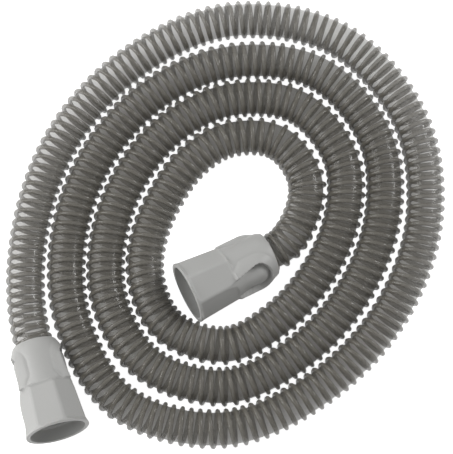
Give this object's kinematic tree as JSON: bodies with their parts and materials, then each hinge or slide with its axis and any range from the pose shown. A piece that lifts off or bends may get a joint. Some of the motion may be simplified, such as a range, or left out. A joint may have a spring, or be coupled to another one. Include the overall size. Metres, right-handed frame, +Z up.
{
  "type": "breathing hose",
  "caption": "Slim corrugated breathing hose lying in a flat loose coil, with a moulded conical connector cuff on each end.",
  "frame": {"origin": "middle of the coil's outline box, on the surface that the hose lies on", "axes": "+Z up from the surface, +Y along the coil's longest extent, from the outer cuff's mouth side to the far side of the coil"},
  "size_m": [0.213, 0.226, 0.0319],
  "materials": {
    "hose": "smoky grey, slightly see-through extruded plastic with a glossy round rib",
    "cuff": "light grey moulded elastomer, satin to matte"
  },
  "bodies": {
    "root": {"hose": "hose", "device_end_cuff": "cuff", "mask_end_cuff": "cuff"}
  },
  "joints": []
}
